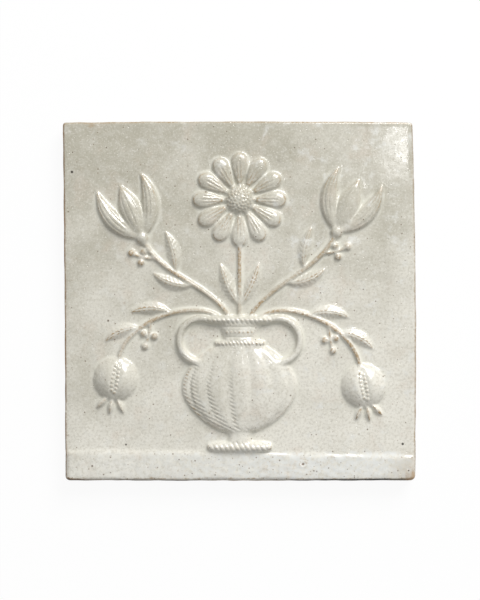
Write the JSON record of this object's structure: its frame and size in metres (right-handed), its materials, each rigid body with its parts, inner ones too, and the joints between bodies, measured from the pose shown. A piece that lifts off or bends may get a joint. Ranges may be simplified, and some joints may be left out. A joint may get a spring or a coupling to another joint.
{
  "type": "relief tile",
  "caption": "Square handmade ceramic relief tile with a glossy off-white glaze, a raised vase of flowers on its face and a grooved flat back for bonding to a wall.",
  "frame": {"origin": "middle of the flat back, on the floor under the tile", "axes": "+Z out of the glazed face, +Y to the top edge of the picture, +X to its right"},
  "size_m": [0.199, 0.2022, 0.0185],
  "materials": {
    "glaze": "glossy"
  },
  "bodies": {
    "root": {"tile": "glaze"}
  },
  "joints": []
}
